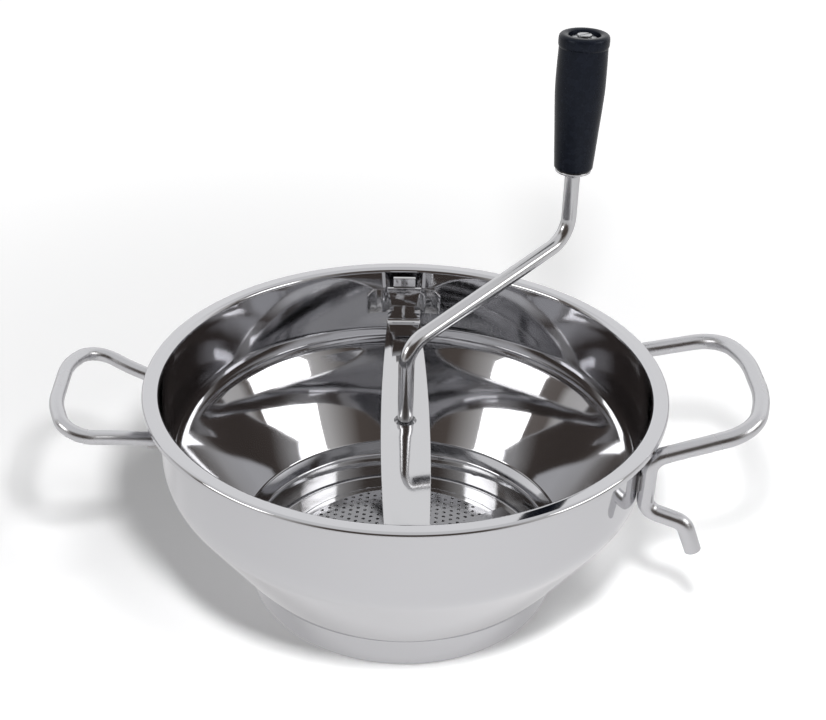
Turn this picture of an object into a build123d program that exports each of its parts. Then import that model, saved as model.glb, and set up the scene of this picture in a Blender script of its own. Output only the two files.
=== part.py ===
from build123d import *
import math
import os

# A rotary food mill: a stainless bowl with a flanged rim and two wire handles, a sprung
# cross bar held under two wall straps, and a crank that turns a ramp-shaped blade over a
# conical sieve disc. Millimetres, +Z up, origin on the bowl's axis at the plane of its foot.

os.makedirs("parts", exist_ok=True)

# ---- bowl -------------------------------------------------------------------------------
SHEET = 0.8                 # thickness of the bowl's drawn sheet
RIM_Z = 118.0               # top face of the rim
RIM_R = 130.0               # outside of the rim
RIM_DROP = 3.4              # depth of the rim's turned-down edge
RIM_CORNER = 1.4
WALL_R = 122.5              # outside of the upright wall
THROAT_CORNER = 2.4
BEND_Z = 73.8               # corner between the upright wall and the cone
BEND_FILLET = 28.0
SHOULDER_R = 87.6           # outside of the cone at the shoulder
SHOULDER_Z = 21.4
SHOULDER_FILLET = 4.5
FOOT_R = 80.7               # outside of the foot collar
FOOT_TOP_Z = 17.0
FOOT_FILLET = 2.0
LIP_R = 73.5                # the foot's inward lip, which carries the disc
LIP_CORNER = 1.6

# ---- sieve disc -------------------------------------------------------------------------
DISC_R = 78.3
DISC_SHEET = 0.8
DISC_Z = 1.3                # middle of the disc's flat rim
DISC_STEP_R = 68.5          # where the raised bead starts
DISC_STEP_RISE = 1.4
DISC_STEP_RUN = 1.5
DISC_CONE_R = 64.5
DISC_HUB_R = 9.0
DISC_CONE_RISE = 6.4
DISC_BENDS = [0.8, 0.8, 3.0, 2.0]
EYELET_HOLE_R = 3.08
EYELET_BARREL_R = 4.5
EYELET_FLANGE_R = 7.0
EYELET_FLANGE = 0.9

# ---- cross bar --------------------------------------------------------------------------
BAR_TOP_Z = 91.5
BAR_SHEET = 2.0
BAR_HALF_WIDTH = 12.5       # at the crank's hole
BAR_END_HALF_WIDTH = 9.4
BAR_HOLE_R = 5.6
BAR_TAB_Y = 107.8           # outer face of the upturned tabs
BAR_TAB_BEND = 3.5
BAR_SHOULDER_Z = 99.0
BAR_TONGUE_HALF_WIDTH = 6.3
BAR_TONGUE_TOP_Z = 119.5
FRONT_TONGUE_HALF_WIDTH = 5.1
FRONT_TONGUE_TOP_Z = 102.5  # the front tongue is short, for the lower front strap
FRONT_SHOULDER_Y = 101.0    # the bar's full width ends here

# ---- wall straps that hold the bar's tongues --------------------------------------------
STRAP_SHEET = 1.2
STRAP_FACE_Y = 104.0        # inward face of the strap's pocket
STRAP_FACE_TOP_Z = 114.0
STRAP_FACE_BOTTOM_Z = 102.5
STRAP_FACE_TOP_HALF = 9.6
STRAP_FACE_BOTTOM_HALF = 7.4
STRAP_WING_R = 121.55       # outside of the wings, against the wall
STRAP_WING_INNER_X = 11.0
STRAP_WING_OUTER_X = 21.2
STRAP_WING_TOP_Z = 105.5
STRAP_WING_BOTTOM_Z = 90.0
STRAP_WING_CLIP = 4.0
STRAP_LAP = 0.3             # where a side facet runs into the face
FRONT_STRAP_DROP = 9.8      # the front strap sits this much lower, just above the bar

# ---- handles ----------------------------------------------------------------------------
PLAIN_ROD_R = 3.5
HOOK_ROD_R = 4.1
PLAIN_TILT = 0.334          # rise per millimetre outwards
HOOK_TILT = 0.265
PLAIN_Z = 99.5              # centre line of the rod at the wall
HOOK_Z = 108.0
HANDLE_WALL_X = 123.0       # where those heights are measured
PLAIN_TURN = 3.1            # each loop is turned a little about the bowl's axis, degrees
HOOK_TURN = -1.9
PLAIN_REAR_LOOP = [(117.0, 28.5), (138.0, 32.0), (160.4, 42.7), (170.0, 20.5)]
PLAIN_FRONT_LOOP = [(169.8, -17.0), (161.1, -42.2), (136.0, -30.8), (117.0, -23.0)]
PLAIN_BENDS = [60.0, 13.0, 42.0, 42.0, 13.0, 60.0]
HOOK_REAR_LOOP = [(109.0, 50.0), (164.8, 45.6), (173.4, 18.0)]
HOOK_FRONT_LOOP = [(173.4, -18.0), (164.8, -45.6)]
HOOK_BENDS = [22.0, 70.0, 70.0, 22.0, 9.0, 8.0, 8.0]
HOOK_LEG_X = 114.4          # the upright leg stands just clear of the wall
HOOK_LEG_Y = -54.6
HOOK_LEG_TOP_Z = 105.8
HOOK_LEG_Z = 77.2           # corner under the leg
REST_HEADING = -15.0        # direction of the rest hook, degrees from +X
REST_RUN = 19.5             # the hook runs out and dips, then turns down to its end
REST_DIP = 4.5
REST_END_RUN = 25.5
REST_END_DROP = 19.4
WELD_RADIAL = 1.3           # how far a weld bead stands out round its rod
WELD_REACH = 2.6            # and along it
PLAIN_WELD_X = 120.0
PLAIN_REAR_WELD_Y = 29.0
PLAIN_FRONT_WELD_Y = -23.8
HOOK_WELD_X = 113.6
HOOK_WELD_Y = 49.6
LEG_WELD_REACH = 1.6        # radial reach of the bead beside the leg
LEG_WELD_Z = 93.0
LEG_WELD_HEIGHT = 9.0

# ---- crank ------------------------------------------------------------------------------
ROD_R = 4.0
PILOT_R = 3.0
PILOT_BOTTOM_Z = 3.5
PILOT_TOP_Z = 11.0
CRANK_ANGLE = 38.5          # heading of the arm at rest
CRANK_REACH = 108.3
CRANK_LOW_Z = 133.6         # corner above the bar
CRANK_HIGH_Z = 163.8        # corner under the grip
CRANK_LOW_BEND = 14.0
CRANK_HIGH_BEND = 16.0
ROD_TOP_Z = 269.5

# ---- grip -------------------------------------------------------------------------------
GRIP_BOTTOM_Z = 202.8
GRIP_TOP_Z = 272.2
GRIP_BOTTOM_R = 9.9
GRIP_WAIST_R = 11.3
GRIP_WAIST = 22.0           # height of the waist above the grip's lower end
GRIP_BELLY_R = 12.5
GRIP_BELLY = 42.0
GRIP_NECK_R = 12.2
GRIP_NECK = 7.0             # the neck and the lip, below the grip's top
GRIP_LIP_R = 12.6
GRIP_LIP = 6.0
GRIP_LIP_CHAMFER = 1.5
GRIP_RECESS_R = 7.9
GRIP_RECESS_DEPTH = 3.0
GRIP_BORE_R = 4.08
FERRULE_R = 9.2
FERRULE_THICK = 1.4
FERRULE_GAP = 0.3           # running gap under the grip
STOP_RING_R = 4.9
STOP_RING = 2.2
SCREW_HEAD_R = 3.6
SCREW_HEAD = 1.5
SCREW_SLOT = 0.9
SCREW_SHANK_R = 1.9
SCREW_LENGTH = 12.0
CAP_WASHER_R = 6.2
CAP_WASHER = 0.8

# ---- blade, hub and spring --------------------------------------------------------------
HUB_R = 7.2
HUB_BOTTOM_Z = 11.6
HUB_TOP_Z = 36.0
PIN_R = 1.5
PIN_Z = 30.5
BLADE_SHEET = 1.4
BLADE_R = 73.0
BLADE_GAP = 0.5             # over the disc at the trailing edge
BLADE_RISE = 17.0           # extra height at the leading edge
BLADE_SWEEP = 165.0         # degrees from the trailing to the leading edge
BLADE_STATIONS = 8
BLADE_CURL = 1.25           # how the blade's rise gathers towards its leading edge
BLADE_NARROWING = 0.28      # share of the radius lost at the leading edge
BLADE_NARROWING_POWER = 4
SEAT_R = 9.5
SEAT_THICK = 1.2
SPRING_WIRE_R = 0.9
SPRING_R = 6.6              # mean radius of the coil
SPRING_PITCH = 6.2
FIXED_GAP = 0.02            # radial gap where a ring is fixed on its rod
SEAT_GAP = 0.3              # radial gap where a spring seat slides on the rod

BAR_BOTTOM_Z = BAR_TOP_Z - BAR_SHEET
UPPER_SEAT_Z = BAR_BOTTOM_Z - SEAT_THICK
LOWER_SEAT_Z = HUB_TOP_Z
FERRULE_Z = GRIP_BOTTOM_Z - FERRULE_GAP - FERRULE_THICK
DISC_CONE_Z = DISC_Z + DISC_STEP_RISE
DISC_HUB_Z = DISC_CONE_Z + DISC_CONE_RISE


def save(shape, node, colour):
    shape.label = node
    shape.color = Color(*colour)
    export_step(shape, f"parts/{node}.step")


STEEL = (0.78, 0.78, 0.80)
BLACK = (0.03, 0.03, 0.035)


def sheet_of_revolution(points, radii, thickness):
    """Revolve a constant-thickness sheet whose middle line passes through (radius, height) points."""
    line = FilletPolyline(*[(x, 0, z) for x, z in points], radius=radii)
    outline = offset(Wire(line.edges()), amount=thickness / 2, side=Side.BOTH)
    return revolve(make_face(outline.edges()), axis=Axis.Z)


def rod(points, radii, radius):
    """A round rod along straight runs joined by tangent bends."""
    path = FilletPolyline(*points, radius=radii)
    start = Plane(origin=path @ 0, z_dir=path % 0)
    return sweep(start * Circle(radius), path=path)


def ring(outer, inner, z, height):
    base = Pos(0, 0, z + height / 2)
    return base * (Cylinder(outer, height) - Cylinder(inner, height))


def at_grip(shape):
    """Move a shape built on the Z axis to the grip's own upright axis."""
    return Rot(0, 0, CRANK_ANGLE) * Pos(CRANK_REACH, 0, 0) * shape


# ---- bowl -------------------------------------------------------------------------------
def make_bowl():
    half = SHEET / 2
    points = [
        (RIM_R - half, RIM_Z - RIM_DROP),
        (RIM_R - half, RIM_Z - half),
        (WALL_R - half, RIM_Z - half),
        (WALL_R - half, BEND_Z),
        (SHOULDER_R - half, SHOULDER_Z),
        (FOOT_R - half, FOOT_TOP_Z),
        (FOOT_R - half, half),
        (LIP_R, half),
    ]
    radii = [RIM_CORNER, THROAT_CORNER, BEND_FILLET, SHOULDER_FILLET, FOOT_FILLET, LIP_CORNER]
    return sheet_of_revolution(points, radii, SHEET)


# ---- sieve disc -------------------------------------------------------------------------
def make_disc():
    points = [
        (DISC_R, DISC_Z),
        (DISC_STEP_R, DISC_Z),
        (DISC_STEP_R - DISC_STEP_RUN, DISC_CONE_Z),
        (DISC_CONE_R, DISC_CONE_Z),
        (DISC_HUB_R, DISC_HUB_Z),
        (EYELET_BARREL_R + DISC_SHEET / 2, DISC_HUB_Z),
    ]
    return sheet_of_revolution(points, DISC_BENDS, DISC_SHEET)


def make_eyelet():
    top = DISC_HUB_Z + DISC_SHEET / 2
    bottom = DISC_HUB_Z - DISC_SHEET / 2
    barrel = ring(EYELET_BARREL_R, EYELET_HOLE_R, bottom, DISC_SHEET)
    upper = ring(EYELET_FLANGE_R, EYELET_HOLE_R, top, EYELET_FLANGE)
    lower = ring(EYELET_FLANGE_R, EYELET_HOLE_R, bottom - EYELET_FLANGE, EYELET_FLANGE)
    return barrel + upper + lower


# ---- cross bar --------------------------------------------------------------------------
def make_cross_bar():
    end_y = BAR_TAB_Y
    side = ThreePointArc((BAR_END_HALF_WIDTH, -end_y), (BAR_HALF_WIDTH, 0), (BAR_END_HALF_WIDTH, end_y))
    other = ThreePointArc((-BAR_END_HALF_WIDTH, end_y), (-BAR_HALF_WIDTH, 0), (-BAR_END_HALF_WIDTH, -end_y))
    far = Line(side @ 1, other @ 0)
    near = Line(other @ 1, side @ 0)
    plan = make_face([side, far, other, near])
    plan_block = Pos(0, 0, BAR_BOTTOM_Z) * extrude(plan, BAR_TONGUE_TOP_Z - BAR_BOTTOM_Z)

    half = BAR_SHEET / 2
    middle_y = BAR_TAB_Y - half
    profile = FilletPolyline(
        (0, -middle_y, FRONT_TONGUE_TOP_Z),
        (0, -middle_y, BAR_BOTTOM_Z + half),
        (0, middle_y, BAR_BOTTOM_Z + half),
        (0, middle_y, BAR_TONGUE_TOP_Z),
        radius=BAR_TAB_BEND,
    )
    outline = offset(Wire(profile.edges()), amount=half, side=Side.BOTH)
    strip = extrude(make_face(outline.edges()), BAR_HALF_WIDTH + 1, both=True)
    bar = strip & plan_block
    notch_width = BAR_HALF_WIDTH + 1 - BAR_TONGUE_HALF_WIDTH
    notch_height = BAR_TONGUE_TOP_Z - BAR_SHOULDER_Z + 2
    notch_x = BAR_TONGUE_HALF_WIDTH + notch_width / 2
    notch_z = BAR_SHOULDER_Z + notch_height / 2
    front_width = BAR_HALF_WIDTH + 1 - FRONT_TONGUE_HALF_WIDTH
    front_depth = BAR_TAB_Y + 1 - FRONT_SHOULDER_Y
    front_height = 2 * (BAR_TONGUE_TOP_Z - BAR_BOTTOM_Z)
    front_x = FRONT_TONGUE_HALF_WIDTH + front_width / 2
    front_y = -(FRONT_SHOULDER_Y + front_depth / 2)
    for side in (-1, 1):
        bar -= Pos(side * notch_x, middle_y, notch_z) * Box(notch_width, 4 * BAR_SHEET, notch_height)
        bar -= Pos(side * front_x, front_y, BAR_BOTTOM_Z) * Box(front_width, front_depth, front_height)
    return bar - Pos(0, 0, BAR_BOTTOM_Z) * Cylinder(BAR_HOLE_R, 4 * BAR_SHEET)


# ---- wall straps ------------------------------------------------------------------------
def make_strap():
    inner_face = STRAP_FACE_Y + STRAP_SHEET
    face_plane = Plane(origin=(0, inner_face, 0), x_dir=(1, 0, 0), z_dir=(0, -1, 0))
    face_outline = Polyline(
        (-STRAP_FACE_TOP_HALF, STRAP_FACE_TOP_Z),
        (STRAP_FACE_TOP_HALF, STRAP_FACE_TOP_Z),
        (STRAP_FACE_BOTTOM_HALF, STRAP_FACE_BOTTOM_Z),
        (-STRAP_FACE_BOTTOM_HALF, STRAP_FACE_BOTTOM_Z),
        close=True,
    )
    strap = extrude(face_plane * make_face(face_outline), STRAP_SHEET)

    wing_inner_r = STRAP_WING_R - STRAP_SHEET
    wing_height = STRAP_WING_TOP_Z - STRAP_WING_BOTTOM_Z
    wing_ring = ring(STRAP_WING_R, wing_inner_r, STRAP_WING_BOTTOM_Z, wing_height)
    wing_plan = Polyline(
        (STRAP_WING_INNER_X, STRAP_WING_TOP_Z),
        (STRAP_WING_OUTER_X - STRAP_WING_CLIP, STRAP_WING_TOP_Z),
        (STRAP_WING_OUTER_X, STRAP_WING_TOP_Z - STRAP_WING_CLIP),
        (STRAP_WING_OUTER_X, STRAP_WING_BOTTOM_Z),
        (STRAP_WING_INNER_X, STRAP_WING_BOTTOM_Z),
        close=True,
    )
    far_plane = Plane(origin=(0, STRAP_WING_R + 5, 0), x_dir=(1, 0, 0), z_dir=(0, -1, 0))
    wing = wing_ring & extrude(far_plane * make_face(wing_plan), 20)

    wall_y = math.sqrt(wing_inner_r ** 2 - STRAP_WING_INNER_X ** 2)
    face_section = Polyline(
        (STRAP_FACE_TOP_HALF - STRAP_SHEET, STRAP_FACE_Y, STRAP_FACE_TOP_Z),
        (STRAP_FACE_TOP_HALF + STRAP_LAP, STRAP_FACE_Y, STRAP_FACE_TOP_Z),
        (STRAP_FACE_BOTTOM_HALF + STRAP_LAP, STRAP_FACE_Y, STRAP_FACE_BOTTOM_Z),
        (STRAP_FACE_BOTTOM_HALF - STRAP_SHEET, STRAP_FACE_Y, STRAP_FACE_BOTTOM_Z),
        close=True,
    )
    wall_section = Polyline(
        (STRAP_WING_INNER_X - STRAP_SHEET / 2, wall_y + STRAP_SHEET / 2, STRAP_WING_TOP_Z),
        (STRAP_WING_INNER_X + STRAP_SHEET, wall_y + STRAP_SHEET / 2, STRAP_WING_TOP_Z),
        (STRAP_WING_INNER_X + STRAP_SHEET, wall_y + STRAP_SHEET / 2, STRAP_WING_BOTTOM_Z),
        (STRAP_WING_INNER_X - STRAP_SHEET / 2, wall_y + STRAP_SHEET / 2, STRAP_WING_BOTTOM_Z),
        close=True,
    )
    facet = loft([make_face(face_section), make_face(wall_section)], ruled=True)
    side = wing + facet
    return strap + side + mirror(side, about=Plane.YZ)


# ---- handles ----------------------------------------------------------------------------
def turned(x, y, z, degrees):
    """A point moved round the bowl's axis."""
    angle = math.radians(degrees)
    return (x * math.cos(angle) - y * math.sin(angle), x * math.sin(angle) + y * math.cos(angle), z)


def plain_point(x, y):
    return turned(-x, y, PLAIN_Z + PLAIN_TILT * (x - HANDLE_WALL_X), PLAIN_TURN)


def hook_point(x, y):
    return turned(x, y, HOOK_Z + HOOK_TILT * (x - HANDLE_WALL_X), HOOK_TURN)


def rest_point(run, z):
    """A point on the hook handle's upright leg (no run) or on the rest hook under it."""
    heading = math.radians(REST_HEADING)
    return (HOOK_LEG_X + run * math.cos(heading), HOOK_LEG_Y + run * math.sin(heading), z)


def wall_drum(radius):
    """A solid drum the height of the bowl, which copes the handles' ends to its wall."""
    return Pos(0, 0, RIM_Z / 2) * Cylinder(radius, RIM_Z)


def make_plain_handle():
    points = [plain_point(x, y) for x, y in PLAIN_REAR_LOOP + PLAIN_FRONT_LOOP]
    return rod(points, PLAIN_BENDS, PLAIN_ROD_R) - wall_drum(WALL_R + FIXED_GAP)


def make_hook_handle():
    loop = [hook_point(x, y) for x, y in HOOK_REAR_LOOP + HOOK_FRONT_LOOP]
    leg = [rest_point(0, HOOK_LEG_TOP_Z), rest_point(0, HOOK_LEG_Z)]
    rest = [rest_point(REST_RUN, HOOK_LEG_Z - REST_DIP), rest_point(REST_END_RUN, HOOK_LEG_Z - REST_END_DROP)]
    return rod(loop + leg + rest, HOOK_BENDS, HOOK_ROD_R) - wall_drum(WALL_R + FIXED_GAP)


def weld_bead(rod_end, rod_radius, handle):
    """A bead of weld round a rod's end, between the rod and the bowl's wall."""
    reach = 2 * (rod_radius + WELD_REACH)
    bead = Pos(*rod_end) * Rot(0, 90, 0) * Cylinder(rod_radius + WELD_RADIAL, reach)
    return bead - wall_drum(WALL_R + FIXED_GAP) - handle


def make_plain_welds(handle):
    rear = weld_bead(plain_point(PLAIN_WELD_X, PLAIN_REAR_WELD_Y), PLAIN_ROD_R, handle)
    front = weld_bead(plain_point(PLAIN_WELD_X, PLAIN_FRONT_WELD_Y), PLAIN_ROD_R, handle)
    return Compound(list(rear.solids()) + list(front.solids()))


def make_hook_welds(handle):
    rear = weld_bead(hook_point(HOOK_WELD_X, HOOK_WELD_Y), HOOK_ROD_R, handle)
    column = Cylinder(HOOK_ROD_R + WELD_RADIAL, LEG_WELD_HEIGHT)
    leg = Pos(HOOK_LEG_X, HOOK_LEG_Y, LEG_WELD_Z) * column & wall_drum(WALL_R + LEG_WELD_REACH)
    leg = leg - wall_drum(WALL_R + FIXED_GAP) - handle
    return Compound(list(rear.solids()) + list(leg.solids()))


# ---- crank ------------------------------------------------------------------------------
def make_crank_rod():
    path = FilletPolyline(
        (0, 0, PILOT_TOP_Z),
        (0, 0, CRANK_LOW_Z),
        (CRANK_REACH, 0, CRANK_HIGH_Z),
        (CRANK_REACH, 0, ROD_TOP_Z),
        radius=[CRANK_LOW_BEND, CRANK_HIGH_BEND],
    )
    bar = sweep(Plane(origin=path @ 0, z_dir=path % 0) * Circle(ROD_R), path=path)
    pilot_height = PILOT_TOP_Z - PILOT_BOTTOM_Z
    pilot = Pos(0, 0, PILOT_BOTTOM_Z + pilot_height / 2) * Cylinder(PILOT_R, pilot_height)
    turned = Rot(0, 0, CRANK_ANGLE) * (bar + pilot)
    turned -= at_grip(Pos(0, 0, ROD_TOP_Z - SCREW_LENGTH / 2) * Cylinder(SCREW_SHANK_R, SCREW_LENGTH))
    return turned - hub_pin_shape()


def make_grip():
    outline = Polyline(
        (GRIP_BORE_R, GRIP_BOTTOM_Z),
        (GRIP_BOTTOM_R, GRIP_BOTTOM_Z),
    )
    side = Spline(
        (GRIP_BOTTOM_R, GRIP_BOTTOM_Z),
        (GRIP_WAIST_R, GRIP_BOTTOM_Z + GRIP_WAIST),
        (GRIP_BELLY_R, GRIP_BOTTOM_Z + GRIP_BELLY),
        (GRIP_NECK_R, GRIP_TOP_Z - GRIP_NECK),
    )
    top = Polyline(
        (GRIP_NECK_R, GRIP_TOP_Z - GRIP_NECK),
        (GRIP_LIP_R, GRIP_TOP_Z - GRIP_LIP),
        (GRIP_LIP_R, GRIP_TOP_Z - GRIP_LIP_CHAMFER),
        (GRIP_LIP_R - GRIP_LIP_CHAMFER, GRIP_TOP_Z),
        (GRIP_RECESS_R, GRIP_TOP_Z),
        (GRIP_RECESS_R, GRIP_TOP_Z - GRIP_RECESS_DEPTH),
        (GRIP_BORE_R, GRIP_TOP_Z - GRIP_RECESS_DEPTH),
        (GRIP_BORE_R, GRIP_BOTTOM_Z),
    )
    edges = outline.edges() + side.edges() + top.edges()
    section = make_face([Plane.XZ * edge for edge in edges])
    return at_grip(revolve(section, axis=Axis.Z))


def hub_pin_shape():
    return Rot(0, 0, CRANK_ANGLE) * Pos(0, 0, PIN_Z) * Rot(0, 90, 0) * Cylinder(PIN_R, 2 * HUB_R)


def make_screw():
    head_z = ROD_TOP_Z + CAP_WASHER
    head = Pos(0, 0, head_z + SCREW_HEAD / 2) * Cylinder(SCREW_HEAD_R, SCREW_HEAD)
    shank = Pos(0, 0, head_z - SCREW_LENGTH / 2) * Cylinder(SCREW_SHANK_R, SCREW_LENGTH)
    slot = Pos(0, 0, head_z + SCREW_HEAD) * Box(3 * SCREW_HEAD_R, SCREW_SLOT, SCREW_HEAD)
    return at_grip(head + shank - slot)


# ---- blade ------------------------------------------------------------------------------
def blade_height(radius, turn):
    """Height of the blade's underside at a radius, a fraction of the way to its leading edge."""
    slope = DISC_CONE_RISE / (DISC_CONE_R - DISC_HUB_R)
    cone = DISC_CONE_Z + DISC_SHEET / 2 + slope * (DISC_CONE_R - radius)
    return cone + BLADE_GAP + BLADE_RISE * turn ** BLADE_CURL


def blade_section(index):
    turn = index / (BLADE_STATIONS - 1)
    outer = BLADE_R * (1 - BLADE_NARROWING * turn ** BLADE_NARROWING_POWER)
    inner = HUB_R + FIXED_GAP
    section = Polyline(
        (inner, 0, blade_height(inner, turn)),
        (outer, 0, blade_height(outer, turn)),
        (outer, 0, blade_height(outer, turn) + BLADE_SHEET),
        (inner, 0, blade_height(inner, turn) + BLADE_SHEET),
        close=True,
    )
    return Rot(0, 0, CRANK_ANGLE - BLADE_SWEEP * turn) * make_face(section)


def make_blade():
    return loft([blade_section(index) for index in range(BLADE_STATIONS)])


# ---- spring -----------------------------------------------------------------------------
def make_spring():
    bottom = LOWER_SEAT_Z + SEAT_THICK + SPRING_WIRE_R
    top = UPPER_SEAT_Z - SPRING_WIRE_R
    height = top - bottom
    helix = Helix(pitch=SPRING_PITCH, height=height, radius=SPRING_R)
    wire = sweep(Plane(origin=helix @ 0, z_dir=helix % 0) * Circle(SPRING_WIRE_R), path=helix, is_frenet=True)
    return Pos(0, 0, bottom) * wire


bowl = make_bowl()
strap = make_strap()
plain_handle = make_plain_handle()
hook_handle = make_hook_handle()
hub = ring(HUB_R, ROD_R + FIXED_GAP, HUB_BOTTOM_Z, HUB_TOP_Z - HUB_BOTTOM_Z) - hub_pin_shape()

save(bowl, "bowl", STEEL)
save(plain_handle, "plain_handle", STEEL)
save(hook_handle, "hook_handle", STEEL)
save(make_plain_welds(plain_handle), "plain_handle_welds", STEEL)
save(make_hook_welds(hook_handle), "hook_handle_welds", STEEL)
save(strap, "strap_rear", STEEL)
save(Pos(0, 0, -FRONT_STRAP_DROP) * Rot(0, 0, 180) * strap, "strap_front", STEEL)
save(make_cross_bar(), "cross_bar", STEEL)
save(make_disc(), "sieve_disc", STEEL)
save(make_eyelet(), "disc_eyelet", STEEL)
save(make_crank_rod(), "crank_rod", STEEL)
save(hub, "blade_hub", STEEL)
save(hub_pin_shape(), "hub_pin", STEEL)
save(make_blade(), "blade", STEEL)
save(make_spring(), "spring", STEEL)
save(ring(SEAT_R, ROD_R + SEAT_GAP, UPPER_SEAT_Z, SEAT_THICK), "spring_seat_upper", STEEL)
save(ring(SEAT_R, ROD_R + SEAT_GAP, LOWER_SEAT_Z, SEAT_THICK), "spring_seat_lower", STEEL)
save(make_grip(), "grip", BLACK)
save(at_grip(ring(FERRULE_R, ROD_R + FIXED_GAP, FERRULE_Z, FERRULE_THICK)), "grip_ferrule", STEEL)
save(at_grip(ring(STOP_RING_R, ROD_R + FIXED_GAP, FERRULE_Z - STOP_RING, STOP_RING)), "grip_stop_ring", STEEL)
save(at_grip(ring(CAP_WASHER_R, SCREW_SHANK_R + FIXED_GAP, ROD_TOP_Z, CAP_WASHER)), "grip_washer", STEEL)
save(make_screw(), "grip_screw", STEEL)
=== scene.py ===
import math

import bmesh
import bpy
from mathutils import Matrix, Vector


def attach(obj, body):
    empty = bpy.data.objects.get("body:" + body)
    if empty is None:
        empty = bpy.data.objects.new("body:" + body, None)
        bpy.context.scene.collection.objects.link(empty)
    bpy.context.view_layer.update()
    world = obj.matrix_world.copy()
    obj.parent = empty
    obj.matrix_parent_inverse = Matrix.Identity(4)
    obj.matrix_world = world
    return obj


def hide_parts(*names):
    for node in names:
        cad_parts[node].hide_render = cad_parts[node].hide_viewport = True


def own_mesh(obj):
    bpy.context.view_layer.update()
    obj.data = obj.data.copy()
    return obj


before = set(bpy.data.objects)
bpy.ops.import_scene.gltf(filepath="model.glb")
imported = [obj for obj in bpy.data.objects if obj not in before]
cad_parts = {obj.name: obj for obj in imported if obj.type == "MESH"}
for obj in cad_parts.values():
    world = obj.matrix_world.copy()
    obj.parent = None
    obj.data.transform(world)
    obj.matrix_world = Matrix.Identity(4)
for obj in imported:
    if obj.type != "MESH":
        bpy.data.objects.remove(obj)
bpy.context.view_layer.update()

# A stainless rotary food mill. Outlines below are in millimetres, and the mesh builders turn
# them into metres. Each turned piece, bent rod, coil and perforation comes from a small
# Geometry Nodes tree, whose named inputs hold its sizes.

MM = 0.001
FINE_BEND = math.radians(3.0)       # one facet of a large bend
RUN_STEP = 4.0                      # longest facet along a straight run
CREASE = math.radians(32.0)         # edges sharper than this stay crisp
TRIM_CREASE = math.radians(40.0)    # the same on the small parts, whose edges are rounded
WELD = 1e-7                         # vertices closer than this are one, in metres
TRIM_WELD = 2e-6                    # the same on copies of the CAD parts
BOWL_FACETS = 240
DISC_RIM_FACETS = 180
DISC_HUB_FACETS = 72
GRIP_FACETS = 96
PILOT_FACETS = 48
CRANK_FACETS = 40
HANDLE_FACETS = 36
WIRE_FACETS = 14
COIL_FACETS = 36                    # in one turn of the spring

# ---- sizes of the bowl ------------------------------------------------------------------
BOWL_SHEET = 0.8
BOWL_LINE = [
    (129.6, 114.6),
    (129.6, 117.6),
    (122.1, 117.6),
    (122.1, 73.8),
    (87.2, 21.4),
    (80.3, 17.0),
    (80.3, 0.4),
    (73.5, 0.4),
]
BOWL_BENDS = [1.4, 2.4, 28.0, 4.5, 2.0, 1.6]
WALL_MIDDLE = 122.1

# ---- sizes of the disc ------------------------------------------------------------------
DISC_SHEET = 0.8
DISC_RIM_LINE = [(78.3, 1.3), (68.5, 1.3), (67.0, 2.7), (63.4, 2.825)]
DISC_RIM_BENDS = [0.8, 0.8]
DISC_RUN_STEP = 3.0
DISC_HUB_LINE = [(11.4, 8.82), (9.0, 9.1), (4.9, 9.1)]
DISC_HUB_BENDS = [2.0]
DISC_CONE_FOOT = (64.5, 2.7)
DISC_CONE_SLOPE = 6.4 / 55.5
DISC_LAP = 0.03                     # the plain margins stand this much proud of the cone
HOLE_PITCH = 4.7
HOLE_RADIUS = 1.05
HOLE_FACETS = 12
TILE_WELD = 0.02                    # neighbouring tiles meet within this
LATTICES = ((29, 17), (30, 18))     # columns and rows of the two grids that make the hexagonal one
LATTICE_TURN = math.radians(25.0)
FIRST_HOLES = 12.4                  # the perforated field lies between these radii
LAST_HOLES = 61.8
FIELD_INNER = 8.6                   # plain tiles fill it out to these
FIELD_OUTER = 66.2

# ---- sizes of the rods ------------------------------------------------------------------
PLAIN_ROD = 3.5
PLAIN_TURN = 3.1
PLAIN_BASE = 99.5                   # height of the loop's plane at the wall, and its rise outwards
PLAIN_TILT = 0.334
PLAIN_LOOP = [
    (121.0, 29.2),
    (138.0, 32.0),
    (160.4, 42.7),
    (170.0, 20.5),
    (169.8, -17.0),
    (161.1, -42.2),
    (136.0, -30.8),
    (121.0, -24.6),
]
PLAIN_BENDS = [60.0, 13.0, 42.0, 42.0, 13.0, 60.0]
HOOK_ROD = 4.1
HOOK_TURN = -1.9
HOOK_BASE = 108.0
HOOK_TILT = 0.265
HOOK_LOOP = [(112.6, 49.7), (164.8, 45.6), (173.4, 18.0), (173.4, -18.0), (164.8, -45.6)]
HOOK_LEG = [(114.4, -54.6, 105.8), (114.4, -54.6, 77.2)]
REST_HEADING = math.radians(-15.0)
REST_STEPS = [(19.5, 72.7), (25.5, 57.8)]
HOOK_BENDS = [22.0, 70.0, 70.0, 22.0, 9.0, 8.0, 8.0]
LOOP_DATUM = 123.0                  # the radius at which a loop's plane has its base height

CRANK_ROD = 4.0
CRANK_ANGLE = math.radians(38.5)
CRANK_REACH = 108.3
CRANK_LINE = [(0.0, 11.0), (0.0, 133.6), (108.3, 163.8), (108.3, 269.5)]
CRANK_BENDS = [14.0, 16.0]
PILOT_LINE = [(0.0, 3.5), (2.6, 3.5), (3.0, 3.9), (3.0, 11.4), (0.0, 11.4)]

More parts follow.
